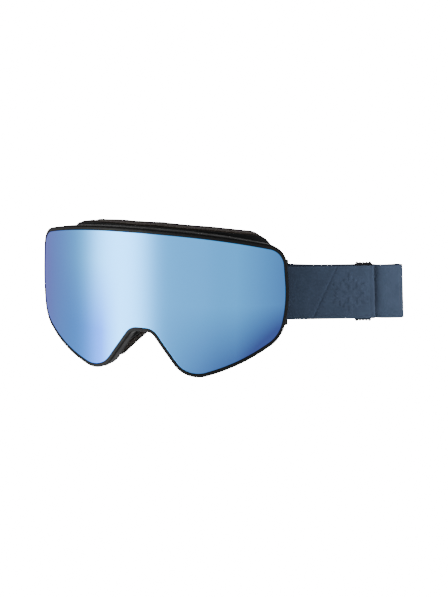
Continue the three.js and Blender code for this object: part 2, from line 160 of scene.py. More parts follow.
def build(name, shape, look, uv=None):
    """A smooth-shaded object from a shape, with its normals out and one UV pair per point if given."""
    points, faces = shape
    mesh = bpy.data.meshes.new(name)
    mesh.from_pydata([tuple(p) for p in to_frame(points)], [], faces)
    if uv is not None:
        layer = mesh.uv_layers.new(name="Weave")
        corners = np.empty(len(mesh.loops), int)
        mesh.loops.foreach_get("vertex_index", corners)
        layer.data.foreach_set("uv", np.asarray(uv, float)[corners].ravel())
    work = bmesh.new()
    work.from_mesh(mesh)
    bmesh.ops.recalc_face_normals(work, faces=work.faces)
    work.to_mesh(mesh)
    work.free()
    mesh.shade_smooth()
    mesh.set_sharp_from_angle(angle=SHARP_ANGLE)
    mesh.materials.append(look)
    return placed(name, mesh)


def bevelled(item, width, segments=3, angle=32):
    """Rounds the hard edges, and keeps the flat faces flat."""
    modifier = item.modifiers.new("Rounded edges", "BEVEL")
    modifier.width = width * MM
    modifier.segments = segments
    modifier.limit_method = "ANGLE"
    modifier.angle_limit = math.radians(angle)
    modifier.harden_normals = True
    return item


def piece(item, body, slot, *nodes):
    """item rides on a body and stands for these CAD nodes, which it hides. slot is not used."""
    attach(item, body)
    if nodes:
        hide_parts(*nodes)
    return item


def bands(count, rings, closed):
    """Quads between rings of count points each, one after another."""
    faces = []
    for k in range(rings if closed else rings - 1):
        here, after = k * count, ((k + 1) % rings) * count
        for i in range(count):
            j = (i + 1) % count
            faces.append([here + i, after + i, after + j, here + j])
    return faces


def hoop(rings):
    return np.vstack(rings), bands(len(rings[0]), len(rings), True)


def capped(rings):
    count = len(rings[0])
    last = (len(rings) - 1) * count
    ends = [list(range(count))[::-1], [last + i for i in range(count)]]
    return np.vstack(rings), bands(count, len(rings), False) + ends


def shape_of(work):
    """The shape in a bmesh, which is freed."""
    work.verts.index_update()
    shape = np.array([v.co for v in work.verts]), [[v.index for v in f.verts] for f in work.faces]
    work.free()
    return shape


def block(size, centre, edge, turn=0.0, tilt=0.0):
    """A box with rounded edges, turned about Z after a tilt about its own depth."""
    work = bmesh.new()
    bmesh.ops.create_cube(work, size=1, matrix=Matrix.Diagonal((*size, 1)))
    bmesh.ops.bevel(work, geom=work.edges[:], offset=edge, segments=4, affect="EDGES", profile=0.5)
    work.transform(Matrix.Translation(centre) @ Matrix.Rotation(turn, 4, "Z")
                   @ Matrix.Rotation(tilt, 4, "Y"))
    return shape_of(work)


def rounded_ends(low, high, edge):
    """(level, inset) of the rings of a bar from low to high whose ends are rounded by edge."""
    steps = [(edge * (1 - math.sin(q)), edge * (1 - math.cos(q))) for q in np.linspace(0, math.pi / 2, 5)]
    levels = [(low + step, inset) for step, inset in steps[::-1]]
    return levels + [(high - step, inset) for step, inset in steps]


def stadium_bar(a, b, radius, low, high, edge=0.5):
    """An upright prism with round ends about a and b, and rounded top and bottom edges."""
    a, b = np.asarray(a, float), np.asarray(b, float)
    heading = math.atan2(*(b - a)[::-1])
    half = np.linspace(-math.pi / 2, math.pi / 2, 17)
    angles = np.concatenate([heading + half, heading + math.pi + half])
    centres = np.vstack([np.tile(b, (17, 1)), np.tile(a, (17, 1))])
    rings = []
    for level, inset in rounded_ends(low, high, edge):
        flat = centres + (radius - inset) * np.column_stack([np.cos(angles), np.sin(angles)])
        rings.append(np.column_stack([flat, np.full(len(flat), level)]))
    return capped(rings)


def turned(profile, at, sides=32):
    """A closed solid of revolution about an upright axis; profile is (radius, level) pairs."""
    angles = np.arange(sides) * 2 * math.pi / sides
    around = np.column_stack([np.cos(angles), np.sin(angles)])
    return capped([
        np.column_stack([at + radius * around, np.full(sides, level)]) for radius, level in profile
    ])


def rod(start, end, radius, edge, sides=20):
    """A rod between two points, with rounded ends."""
    start, end = np.asarray(start, float), np.asarray(end, float)
    along = (end - start) / np.linalg.norm(end - start)
    aside = np.cross(along, [0, 0, 1]) if abs(along[2]) < 0.9 else np.cross(along, [1, 0, 0])
    aside /= np.linalg.norm(aside)
    other = np.cross(along, aside)
    angles = np.arange(sides) * 2 * math.pi / sides
    around = np.outer(np.cos(angles), aside) + np.outer(np.sin(angles), other)
    stations = rounded_ends(0, np.linalg.norm(end - start), edge)
    return capped([start + along * t + (radius - inset) * around for t, inset in stations])


# ---------------- outlines and the two curved surfaces
def smoothstep(x, start, end):
    t = np.clip((np.asarray(x, float) - start) / (end - start), 0, 1)
    return t * t * (3 - 2 * t)


def round_corner(before, corner, after, radius, steps):
    """Points and outward normals of the arc that rounds a corner of a clockwise outline."""
    u, v = before - corner, after - corner
    u, v = u / np.linalg.norm(u), v / np.linalg.norm(v)
    half = math.acos(u @ v) / 2
    bisector = (u + v) / np.linalg.norm(u + v)
    centre = corner + bisector * radius / math.sin(half)
    first = corner + u * radius / math.tan(half) - centre
    side = np.sign(u[0] * v[1] - u[1] * v[0])
    angles = -side * (math.pi - 2 * half) * np.arange(steps + 1) / steps
    arms = np.column_stack([
        first[0] * np.cos(angles) - first[1] * np.sin(angles),
        first[0] * np.sin(angles) + first[1] * np.cos(angles),
    ])
    return centre + arms, arms / radius * side


class Surface:
    """An outline laid on a vertical cylinder whose front line is at depth front."""

    def __init__(self, table, radius, front):
        corners = [np.array(row[:2], float) for row in table]
        arcs = []
        for i, (_, _, rounding) in enumerate(table):
            if rounding:
                arcs.append(round_corner(*corners[i - 1:i + 2], rounding, CORNER_STEPS[i] * REFINE))
            else:
                arcs.append((corners[i][None], np.array([[0.0, 1.0 if i == 0 else -1.0]])))
        points, normals = [], []
        for i, (arc, arc_normals) in enumerate(arcs):
            points.append(arc)
            normals.append(arc_normals)
            if i + 1 < len(arcs):
                steps = STRAIGHT_STEPS[i] * REFINE
                t = (np.arange(1, steps) / steps)[:, None]
                points.append(arc[-1] * (1 - t) + arcs[i + 1][0][0] * t)
                normals.append(arc_normals[-1] * (1 - t) + arcs[i + 1][1][0] * t)
        half, half_normals = np.vstack(points), np.vstack(normals)
        flip = np.array([-1, 1])
        self.points = np.vstack([half, half[-2:0:-1] * flip])
        self.normals = np.vstack([half_normals, half_normals[-2:0:-1] * flip])
        self.radius, self.front = radius, front

    def flat(self, offset):
        return self.points + self.normals * np.broadcast_to(offset, len(self.points))[:, None]

    def bend(self, flat, depth):
        angle, r = flat[:, 0] / self.radius, self.radius - np.asarray(depth, float)
        return np.column_stack([
            r * np.sin(angle), self.front + self.radius - r * np.cos(angle), flat[:, 1],
        ])

    def ring(self, offset, depth):
        return self.bend(self.flat(offset), depth)


lens = Surface(LENS_OUTLINE, LENS_RADIUS, 0)
face = Surface(FACE_OUTLINE, FACE_RADIUS, FACE_FRONT)
COUNT = len(lens.points)


def rounded_profile(corners, radius, steps=4):
    """(offset, depth) corners of a closed profile, each rounded by radius or by its own."""
    radii = radius if hasattr(radius, "__len__") else [radius] * len(corners)
    corners = [np.array(c, float) for c in corners]
    rounded = []
    for i, corner in enumerate(corners):
        u, v = corners[i - 1] - corner, corners[(i + 1) % len(corners)] - corner
        reach = min(radii[i], 0.45 * np.linalg.norm(u), 0.45 * np.linalg.norm(v))
        u, v = u / np.linalg.norm(u), v / np.linalg.norm(v)
        for t in np.linspace(0, 1, steps + 1):
            # quadratic curve from one tangent point to the other
            rounded.append(corner + reach * (u * (1 - t) ** 2 + v * t ** 2))
    return rounded


def profile_hoop(surface, corners, radius, steps=4):
    return hoop([surface.ring(o, d) for o, d in rounded_profile(corners, radius, steps)])


# ---------------- materials
class Nodes:
    """Short calls that add nodes to a tree."""

    def __init__(self, tree):
        self.tree = tree

    def node(self, kind, inputs=None, **settings):
        made = self.tree.nodes.new(kind)
        for key, value in settings.items():
            setattr(made, key, value)
        for key, value in (inputs or {}).items():
            if isinstance(value, bpy.types.NodeSocket):
                self.tree.links.new(value, made.inputs[key])
            else:
                made.inputs[key].default_value = value
        return made

    def math(self, operation, a, b=0.0, **settings):
        return self.node("ShaderNodeMath", {0: a, 1: b}, operation=operation, **settings).outputs[0]

    def times(self, a, b):
        return self.math("MULTIPLY", a, b)

    def plus(self, a, b, **settings):
        return self.math("ADD", a, b, **settings)

    def between(self, factor, low, high, to_low, to_high):
        return self.node("ShaderNodeMapRange", {
            0: factor, 1: low, 2: high, 3: to_low, 4: to_high,
        }).outputs[0]


class Look(Nodes):
    """A Principled material and short calls for the nodes that drive it."""

    def __init__(self, name, colour, roughness, **sockets):
        self.material = bpy.data.materials.new(name)
        self.material.use_nodes = True
        super().__init__(self.material.node_tree)
        self.shader = self.tree.nodes["Principled BSDF"]
        self.shader.inputs["Base Color"].default_value = (*colour, 1)
        self.shader.inputs["Roughness"].default_value = roughness
        for socket, value in sockets.items():
            self.shader.inputs[socket.replace("_", " ").title().replace("Ior", "IOR")] \
                .default_value = value
        self.colour = colour
        self.place = self.node("ShaderNodeTexCoord").outputs["Object"]

    def noise(self, grain, detail=2.0, rough=0.5, place=None):
        """Noise from 0 to 1 with features about grain millimetres across."""
        return self.node("ShaderNodeTexNoise", {
            "Vector": place or self.place, "Scale": 1 / (grain * MM), "Detail": detail,
            "Roughness": rough,
        }).outputs["Fac"]

    def cells(self, size, place=None):
        return self.node("ShaderNodeTexVoronoi", {
            "Vector": place or self.place, "Scale": 1 / (size * MM),
        }).outputs["Distance"]

    def mix(self, factor, first, second):
        """A colour between two, which are RGB triples or sockets."""
        made = self.node("ShaderNodeMix", {0: factor}, data_type="RGBA")
        for key, colour in ((6, first), (7, second)):
            if isinstance(colour, bpy.types.NodeSocket):
                self.tree.links.new(colour, made.inputs[key])
            else:
                made.inputs[key].default_value = (*colour, 1)
        return made.outputs[2]

    def drive(self, socket, value):
        self.tree.links.new(value, self.shader.inputs[socket])

    def bump(self, height, depth, strength=1.0):
        """height from 0 to 1 stands for depth millimetres."""
        normal = self.node("ShaderNodeBump", {
            "Height": height, "Distance": depth * MM, "Strength": strength,
        })
        self.drive("Normal", normal.outputs[0])

    def mottle(self, factor, spread):
        """Base colour that runs from darker to lighter by spread with factor."""
        dark = [c * (1 - spread) for c in self.colour]
        light = [min(1, c * (1 + spread)) for c in self.colour]
        self.drive("Base Color", self.mix(factor, dark, light))


def moulded(name, colour, roughness, grain=0.35, depth=0.02, wear=0.25):
    """Moulded plastic: fine spark-eroded grain, uneven gloss and slightly rubbed patches."""
    look = Look(name, colour, roughness, specular_ior_level=0.16)
    fine, broad = look.noise(grain, 3), look.noise(9, 3)
    look.mottle(broad, wear)
    look.drive("Roughness", look.between(broad, 0.3, 0.7, roughness - 0.06, roughness + 0.08))
    look.bump(fine, depth)
    return look.material


def foam(name, colour, cell, depth, spread=0.45):
    """Open-cell foam: pores over a softer unevenness."""
    look = Look(name, colour, 0.95, specular_ior_level=0.1, sheen_weight=0.08, sheen_roughness=0.6)
    pores = look.cells(cell)
    broad = look.noise(cell * 7, 3)
    # Painted shade: the pores, which the bump sinks, are coloured darker; the broad noise is uneven tone.
    look.mottle(look.plus(look.times(pores, 0.9), look.times(broad, 0.4)), spread)
    look.bump(look.plus(pores, look.times(look.noise(cell * 0.4, 3), 0.5)), depth)
    return look.material


def fleece():
    """Short-pile fleece: clumps of fibres, with a soft sheen."""
    look = Look("Black fleece", (0.012, 0.012, 0.013), 1.0, specular_ior_level=0.15,
                sheen_weight=0.25, sheen_roughness=0.45)
    fibres = look.noise(0.5, 5, 0.7)
    clumps = look.noise(2.6, 3)
    # Painted shade: the pile is coloured darker where its fibres and clumps lie lower.
    look.mottle(look.times(look.plus(fibres, clumps), 0.5), 0.6)
    look.bump(look.plus(fibres, look.times(clumps, 0.8)), 0.35)
    return look.material


# The blue is the coating's own colour; the violet is painted reflection and the two deeper blues are painted
# shade.
COATING_BLUE, PAINTED_GRAZING_VIOLET = (0.075, 0.42, 0.95), (0.12, 0.15, 0.76)
PAINTED_DEEP_SHADE, PAINTED_BAND_SHADE = (0.03, 0.065, 0.28), (0.022, 0.14, 0.72)
# Where each painted change of the lens colour starts and ends: metres from the middle plane, or above the
# floor.
PAINTED_VIOLET_ACROSS = (-0.045, -0.088)
DEEP_UP, DEEP_ACROSS, DEEP_TIP = (0.05, 0.0), (0.0, 0.085), (0.062, 0.09)
BAND_ACROSS, BAND_FADE, BAND_UP = (-0.016, -0.031), (-0.075, -0.034), (0.075, 0.028)


def mirror_lens_look():
    look = Look("Blue mirror coating", COATING_BLUE, 0.07, metallic=1.0, coat_weight=0.5,
                coat_roughness=0.03)
    look.shader.inputs["Specular Tint"].default_value = (0.75, 0.7, 0.95, 1)
    x, _, z = look.node("ShaderNodeSeparateXYZ", {0: look.place}).outputs
    across = look.math("SUBTRACT", x, float(ORIGIN[0]))
    ends = look.between(across, *PAINTED_VIOLET_ACROSS, 0.0, 1.0)
    low = look.between(z, *DEEP_UP, 0.0, 1.0)
    drift = look.between(look.noise(60, 1), 0.35, 0.65, -0.05, 0.05)
    # Painted reflection: the far end of the lens is coloured violet, the tint a mirror coating shows when
    # seen at a grazing angle.
    painted_violet = look.plus(look.times(look.math("POWER", ends, 1.3), 0.95), drift, use_clamp=True)
    # Painted shade: the lower part of the near side, and its tip, are coloured a deeper blue that darkens
    # their reflection.
    painted_deep = look.plus(look.times(look.between(across, *DEEP_ACROSS, 0.0, 1.5), low),
                     look.times(look.between(across, *DEEP_TIP, 0.0, 1.0), 0.6), use_clamp=True)
    # Painted shade: the lower part of the far side, from 16 mm off the middle outwards and strongest near 32
    # mm, is coloured a darker, more saturated blue that dims its reflection.
    band = look.times(look.between(across, *BAND_ACROSS, 0.0, 1.0),
                      look.between(across, *BAND_FADE, 0.15, 1.0))
    shade = look.times(band, look.between(z, *BAND_UP, 0.0, 0.9))
    coat_with_painted_light = look.mix(shade, look.mix(painted_violet, COATING_BLUE, PAINTED_GRAZING_VIOLET), PAINTED_BAND_SHADE)
    look.drive("Base Color", look.mix(painted_deep, coat_with_painted_light, PAINTED_DEEP_SHADE))
    look.drive("Roughness", look.between(look.noise(18, 2), 0.3, 0.7, 0.06, 0.085))
    return look.material


def smoked_lens_look():
    """The back of the mirrored lens: dark smoke, glossy."""
    look = Look("Smoked lens back", (0.016, 0.012, 0.014), 0.08, specular_ior_level=0.6)
    look.mottle(look.noise(40, 2), 0.3)
    return look.material


def clear_lens_look():
    look = Look("Clear inner lens", (0.86, 0.88, 0.9), 0.03, transmission_weight=0.92, ior=1.5)
    look.drive("Roughness", look.between(look.noise(25, 2), 0.3, 0.7, 0.02, 0.05))
    return look.material


def steel_look():
    look = Look("Nickelled steel", (0.55, 0.56, 0.58), 0.28, metallic=1.0)
    scratch = look.noise(0.6, 4, 0.7)
    look.mottle(look.noise(2.5, 3), 0.15)
    look.drive("Roughness", look.between(scratch, 0.3, 0.7, 0.2, 0.4))
    look.bump(scratch, 0.01)
    return look.material


def webbing_look(name, colour):
    """Woven elastic: weft ribs across the strap, warp threads along it, and slightly uneven dye."""
    look = Look(name, colour, 0.9, specular_ior_level=0.05, sheen_weight=0.04, sheen_roughness=0.5)
    uv = look.node("ShaderNodeUVMap", uv_map="Weave").outputs[0]
    u, v, _ = look.node("ShaderNodeSeparateXYZ", {0: uv}).outputs

    def ripple(coordinate, pitch):
        return look.math("SINE", look.times(coordinate, 2 * math.pi / pitch))
    weave = look.times(ripple(u, 1.5), ripple(v, 1.1))
    rib = ripple(u, 0.75)
    thread = look.node("ShaderNodeTexNoise", {
        "Vector": look.node("ShaderNodeCombineXYZ", {
            0: look.times(u, 0.25), 1: look.times(v, 2.4),
        }).outputs[0], "Scale": 1.0, "Detail": 3.0,
    }).outputs["Fac"]
    dye = look.node("ShaderNodeTexNoise", {"Vector": uv, "Scale": 0.09, "Detail": 3.0}).outputs["Fac"]
    height = look.plus(look.times(weave, 0.3), look.times(rib, 0.2))
    height = look.plus(height, look.times(thread, 0.35))
    # Painted shade: where the weave, its ribs and its threads lie lower, the colour is darker; the dye noise
    # is uneven dye.
    shade = look.plus(look.between(height, -0.4, 0.8, 0.25, 0.55),
                      look.between(dye, 0.3, 0.7, 0.0, 0.3))
    look.mottle(shade, 0.3)
    look.bump(look.between(height, -0.5, 0.85, 0, 1), 0.16)
    return look.material


def silicone_look():
    look = Look("Silicone", (0.30, 0.34, 0.38), 0.32, subsurface_weight=0.15,
                transmission_weight=0.15, specular_ior_level=0.5)
    look.mottle(look.noise(3, 2), 0.12)
    look.bump(look.noise(0.8, 2), 0.02)
    return look.material


def thread_look():
    look = Look("Sewing thread", (0.05, 0.07, 0.1), 0.7, sheen_weight=0.3)
    twist = look.noise(0.25, 2)
    # Painted shade: the twist's grooves, which the bump sinks, are coloured darker.
    look.mottle(twist, 0.35)
    look.bump(twist, 0.05)
    return look.material


MIRROR, SMOKE, CLEAR = mirror_lens_look(), smoked_lens_look(), clear_lens_look()
RIM_BLACK = moulded("Rim plastic", (0.007, 0.007, 0.0075), 0.42, 0.5, 0.012)
FRAME_BLACK = moulded("Frame plastic", (0.012, 0.0123, 0.0132), 0.55)
SLIDER_BLACK = moulded("Slider plastic", (0.008, 0.008, 0.009), 0.4)
FOAM_BROWN = foam("Face foam", (0.044, 0.034, 0.028), 0.9, 0.2)
FOAM_GREY = foam("Softer face foam", (0.046, 0.036, 0.03), 0.7, 0.2)
VENT_MESH = foam("Vent foam", (0.014, 0.014, 0.014), 1.3, 0.5)
SEAL_BLACK = foam("Closed-cell seal", (0.015, 0.015, 0.016), 0.35, 0.08)
FLEECE = fleece()
STEEL = steel_look()
WEBBING = webbing_look("Slate webbing", (0.036, 0.05, 0.08))
SILICONE = silicone_look()
THREAD = thread_look()

# ---------------- lenses
LENS_BEVEL = 0.35
LENS_INSET = 0.95  # the outer lens stops this far inside its outline, to show the rim
RIM_INNER, RIM_PROUD = -0.8, 0.15  # the rim's inner edge, and how far its front stands out
RIM_LEDGE = 1.9  # depth of the ledge behind the outer lens
SHEET_STEP = 2.0  # spacing of the upright cuts that let a sheet bend


def bent_sheet(name, offset, depth, thickness, looks):
    """A sheet bent with the lens, with bevelled edges; looks are of its front, back and edge."""
    quarter = np.linspace(0, math.pi / 2, 4)
    profile = [(offset - LENS_BEVEL + LENS_BEVEL * math.sin(q),
                depth + LENS_BEVEL * (1 - math.cos(q))) for q in quarter]
    profile += [(o, 2 * depth + thickness - d) for o, d in profile[::-1]]
    work = bmesh.new()
    rings = []
    for ring_offset, ring_depth in profile:
        rings.append([work.verts.new((x, z, ring_depth)) for x, z in lens.flat(ring_offset)])
    front, back = work.faces.new(rings[0]), work.faces.new(rings[-1][::-1])
    front.material_index, back.material_index = 0, 1
    for first, second in zip(rings, rings[1:]):
        for i in range(COUNT):
            j = (i + 1) % COUNT
            work.faces.new([first[i], second[i], second[j], first[j]]).material_index = 2
    reach = math.floor(lens.points[:, 0].max() / SHEET_STEP) * SHEET_STEP
    for x in np.arange(-reach, reach + 1, SHEET_STEP):
        bmesh.ops.bisect_plane(work, geom=work.verts[:] + work.edges[:] + work.faces[:], dist=1e-5,
                               plane_co=(x, 0, 0), plane_no=(1, 0, 0))
    flat = np.array([v.co for v in work.verts])
    bent = to_frame(lens.bend(flat[:, :2], flat[:, 2]))
    for vertex, place in zip(work.verts, bent):
        vertex.co = place
    bmesh.ops.recalc_face_normals(work, faces=work.faces)
    mesh = bpy.data.meshes.new(name)
    work.to_mesh(mesh)
    work.free()
    mesh.shade_smooth()
    for look in looks:
        mesh.materials.append(look)
    # The two faces are exact cylinders, so their normals are too.
    angles = flat[:, 0] / LENS_RADIUS
    outwards = np.column_stack([np.sin(angles), -np.cos(angles), np.zeros(len(angles))])
    normals = [(0, 0, 0)] * len(mesh.loops)
    for polygon in mesh.polygons:
        if polygon.material_index < 2:
            sense = 1 if polygon.material_index == 0 else -1
            for corner in polygon.loop_indices:
                normals[corner] = tuple(sense * outwards[mesh.loops[corner].vertex_index])
    mesh.normals_split_custom_set(normals)
    return placed(name, mesh)


outer_lens = bent_sheet("outer_lens", -LENS_INSET, 0, LENS_THICKNESS, (MIRROR, SMOKE, MIRROR))
piece(outer_lens, "lens_unit", "mirror_lens", "lens_outer")
inner_lens = bent_sheet("inner_lens", SEAL_EDGE, INNER_LENS_DEPTH, INNER_LENS_THICKNESS, (CLEAR,) * 3)
piece(inner_lens, "lens_unit", "clear_lens", "lens_inner")

seal = build("seal_between_lenses", profile_hoop(lens, [
    (SEAL_EDGE, 1.7), (SEAL_EDGE, 4.6), (SEAL_EDGE - 3, 4.6), (SEAL_EDGE - 3, 1.7),
], 0.5), SEAL_BLACK)
piece(seal, "lens_unit", "closed_cell_foam", "lens_seal")

rim = build("lens_rim", profile_hoop(lens, [
    (RIM_INNER, -RIM_PROUD), (1.1, -RIM_PROUD), (RIM_WIDTH, 0.8), (RIM_WIDTH, CARRIER_DEPTH),
    (LIP_EDGE, CARRIER_DEPTH), (LIP_EDGE, RIM_LEDGE), (RIM_INNER, RIM_LEDGE),
], [0.12, 0.4, 0.5, 0.4, 0.5, 0.3, 0.1]), RIM_BLACK)
piece(rim, "lens_unit", "carrier_plastic", "lens_carrier")

# ---- magnets, set in the back of the rim and the front of the frame
MAGNET = (10, 1.7, 3.2)
MAGNET_PROUD = 0.2  # each set stands this far out of its seat


def magnet(node):
    """A plated bar magnet where its CAD node is, in line with the rim there."""
    low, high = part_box(node)
    centre = to_goggle((low + high) / 2)
    ring = lens.ring((LIP_EDGE + RIM_WIDTH) / 2, CARRIER_DEPTH)
    index = int(np.argmin(((ring - centre) ** 2)[:, [0, 2]].sum(axis=1)))
    along = lens.flat(0)[(index + 2) % COUNT] - lens.flat(0)[index - 2]
    return block(MAGNET, tuple(centre), 0.25, turn=lens.points[index, 0] / LENS_RADIUS,
                 tilt=-math.atan2(along[1], along[0]))


for stem, body, step in (
    ("carrier_magnet", "lens_unit", MAGNET_PROUD), ("frame_magnet", "goggle_frame", -MAGNET_PROUD),
):
    names = [f"{stem}_{i}" for i in range(1, 7)]
    points, faces = combine(*map(magnet, names))
    around = points[:, 0] / LENS_RADIUS
    points = points + step * np.column_stack([-np.sin(around), np.cos(around), np.zeros(len(points))])
    piece(build(stem + "s", (points, faces), STEEL), body, "steel", *names)

# ---------------- frame
SLOT_BAND = (0.34, 0.84)  # where the vents lie between the front and the back of the neck
VENTS = [  # middles of the vents, top (1) or bottom (-1), half a vent's width
    ([-60, -36, -12, 12, 36, 60], 1, 8.5),
    ([-66, -50, 50, 66], -1, 5.5),
]
VENT_CORNER = 1.3
EDGE_HEIGHT = 25  # outline points past this height are on the top or the bottom edge
VENT_FOAM = [(0, 11.2), (0, 15.0), (-1.6, 20.2), (-3.8, 20.2), (-2.2, 11.2)]  # offset from the neck, depth
LAND_SIZE, LAND_AT = (9, 14, 5), (37.5, 21.8)
LUG_REACH = 7  # of a lug, inwards from its pin


def neck_front(inset):
    return -1.8 - inset - SIDE_RECESS * smoothstep(abs(lens.points[:, 0]), 70, 93)


def neck_back(inset):
    return -2.6 - inset - SIDE_RECESS * smoothstep(abs(face.points[:, 0]), 62, 84)


def neck_wall(inset, front_depth, back_depth):
    """Rings from the front of the neck to its back."""
    first, last = lens.ring(neck_front(inset), front_depth), face.ring(neck_back(inset), back_depth)
    return [first + (last - first) * t for t in (0, *SLOT_BAND, 1)]


def vent_columns():
    """For each vent, the outline steps that it spans."""
    spans = []
    for centres, edge, half in VENTS:
        for x in centres:
            inside = (abs(lens.points[:, 0] - x) < half) & (lens.points[:, 1] * edge > EDGE_HEIGHT)
            columns = np.flatnonzero(inside)
            if columns.max() - columns.min() > COUNT / 2:  # the span crosses the outline's first point
                columns = np.sort((columns + COUNT // 2) % COUNT) - COUNT // 2
            spans.append((int(columns.min()), int(columns.max())))
    return spans


def frame_shell():
    outer, inner = neck_wall(0, 10.6, -3.2), neck_wall(NECK_WALL, 10.2, -2.8)
    lip = np.minimum(FLANGE_EDGE, neck_front(NECK_WALL) - 0.6)
    rings = [
        lens.ring(RIM_WIDTH - 0.4, FRAME_FRONT), lens.ring(RIM_WIDTH - 0.4, 10), *outer,
        face.ring(0, -2.4), face.ring(0, 0), face.ring(-FACE_FLANGE, 0), face.ring(-FACE_FLANGE, -2.2),
        *inner[::-1], lens.ring(lip, 9.6), lens.ring(FLANGE_EDGE, FRAME_FRONT),
    ]
    outside, inside = 3, 11  # first ring of the vent band, outside and inside the neck
    work = bmesh.new()
    grid = [[work.verts.new(p) for p in ring] for ring in rings]
    spans = vent_columns()
    open_columns = {i % COUNT for first, last in spans for i in range(first, last)}
    for k, ring in enumerate(grid):
        after = grid[(k + 1) % len(grid)]
        for i in range(COUNT):
            if k in (outside, inside) and i in open_columns:
                continue
            j = (i + 1) % COUNT
            work.faces.new([ring[i], after[i], after[j], ring[j]])
    corners = []
    for first, last in spans:
        loop = [(outside, i) for i in range(first, last + 1)]
        loop += [(outside + 1, i) for i in range(last, first - 1, -1)]
        facing = {outside: inside + 1, outside + 1: inside}
        for (k, i), (next_k, next_i) in zip(loop, loop[1:] + loop[:1]):
            work.faces.new([
                grid[k][i % COUNT], grid[next_k][next_i % COUNT],
                grid[facing[next_k]][next_i % COUNT], grid[facing[k]][i % COUNT],
            ])
        for k in (outside, outside + 1):
            for i in (first, last):
                corners.append(work.edges.get((grid[k][i % COUNT], grid[facing[k]][i % COUNT])))
    bmesh.ops.bevel(work, geom=corners, offset=VENT_CORNER, segments=4, affect="EDGES", profile=0.5)
    return shape_of(work)


def over_and_under(low, high, gap):
    """(low, high) of the two arms or lugs that lie over and under a span, a gap away from it."""
    return [(high + gap, high + gap + ARM_HEIGHT), (low - gap - ARM_HEIGHT, low - gap)]


ARM_LEVELS = over_and_under(STRAP_BOTTOM, STRAP_TOP, ARM_GAP)
LUG_LEVELS = over_and_under(ARM_LEVELS[1][0], ARM_LEVELS[0][1], LUG_GAP)
lugs = [stadium_bar(PIN - [LUG_REACH, 0], PIN, LUG_RADIUS, low, high) for low, high in LUG_LEVELS]
land = block(LAND_SIZE, (*LAND_AT, FLOOR + LAND_SIZE[2] / 2), 0.8)
shell = build("frame_shell", combine(frame_shell(), both_sides(*lugs, land)), FRAME_BLACK)
bevelled(shell, 0.3, 2)
piece(shell, "goggle_frame", "frame_plastic", "frame")


# ---- vent foam behind the vents
def vent_strip(node, low, high, edge):
    x, z = lens.points.T
    columns = np.flatnonzero((x > low) & (x < high) & (z * edge > EDGE_HEIGHT))
    order = columns[np.argsort(lens.points[columns, 0])]
    corners = rounded_profile(VENT_FOAM, 0.7, 3)
    rings = [lens.ring(neck_front(NECK_WALL) - 0.5 + o, d)[order] for o, d in corners]
    strip = build(node.replace("foam", "mesh"), capped(list(np.array(rings).transpose(1, 0, 2))), VENT_MESH)
    piece(strip, "goggle_frame", "vent_foam", node)


vent_strip("top_vent_foam", -74, 74, 1)
vent_strip("bottom_vent_foam_left", 44, 74, -1)
vent_strip("bottom_vent_foam_right", -74, -44, -1)

# ---------------- face foam
FOAM_FINISH = {  # look, slot, rounding of its front and back, how far its back bulges
    "face_foam_base": (FOAM_BROWN, "face_foam", 0.5, 0.7, 0.0),
    "face_foam_mid": (FOAM_GREY, "face_foam", 0.7, 0.6, 0.0),
    "face_foam_fleece": (FLEECE, "fleece", 0.4, 1.1, 0.35),
}
UNEVEN_BY, UNEVEN_OVER = 0.08, 9.0
noise.seed_set(7)  # without a seed, noise_vector differs from run to run


def uneven(points, amount, size):
    """Small, smooth moves that keep cut foam from looking machined."""
    return np.array([
        p + amount * np.array(noise.noise_vector(Vector(p) / size)) for p in points
    ])


for name, front, back, proud in FOAM_LAYERS:
    look, slot, front_rounding, back_rounding, crown = FOAM_FINISH[name]
    inner = -FACE_FLANGE - proud
    across = np.linspace(proud, inner, 9)[1:-1]
    corners = [(proud, front), (proud, back)]
    corners += [(o, back + crown * math.sin(math.pi * (o - proud) / (inner - proud))) for o in across]
    corners += [(inner, back), (inner, front)]
    radii = [front_rounding, back_rounding, *[0.3] * len(across), back_rounding, front_rounding]
    points, faces = profile_hoop(face, corners, radii, 3)
    points = uneven(points, UNEVEN_BY, UNEVEN_OVER)
    layer = build(name.replace("face_foam", "foam"), (points, faces), look)
    piece(layer, "goggle_frame", slot, name)

# ---------------- outriggers and their pins
for side, name in ((1, "left"), (-1, "right")):
    arms = [stadium_bar(PIN, BAR, LUG_RADIUS, low, high) for low, high in ARM_LEVELS]
    bar = rod((*BAR, ARM_LEVELS[1][1] - 1), (*BAR, ARM_LEVELS[0][0] + 1), BAR_RADIUS, 0.2)
    low, high = LUG_LEVELS[1][0], LUG_LEVELS[0][1]
    pin = turned([
        (0.6, low - 0.15), (0.9, low), (PIN_RADIUS, low + 0.2), (PIN_RADIUS, high + 0.3),
        (1.65, high + 0.32), (1.8, high + 0.5), (1.8, high + 0.85), (1.6, high + 1.1), (1.0, high + 1.2),
    ], PIN)
    if side < 0:
        arms, bar, pin = [mirrored(arm) for arm in arms], mirrored(bar), mirrored(pin)
    piece(build(f"outrigger_arms_{name}", combine(*arms, bar), RIM_BLACK),
          f"outrigger_{name}", "carrier_plastic", f"outrigger_{name}")
    piece(build(f"pin_{name}", pin, STEEL), "goggle_frame", "steel", f"hinge_pin_{name}")


# ---------------- strap
UP = np.array([0.0, 0.0, 1.0])
STRAP_ALONG = np.array([math.cos(STRAP_ANGLE), math.sin(STRAP_ANGLE), 0])
EDGE_ROUNDING = 0.6
SELVAGE = 1.7  # strap edge to the groove beside it
SELVAGE_DEPTH, SELVAGE_SPREAD = 0.14, 0.35
FOLD_TILT = math.radians(2.7)  # the end fold leans by this


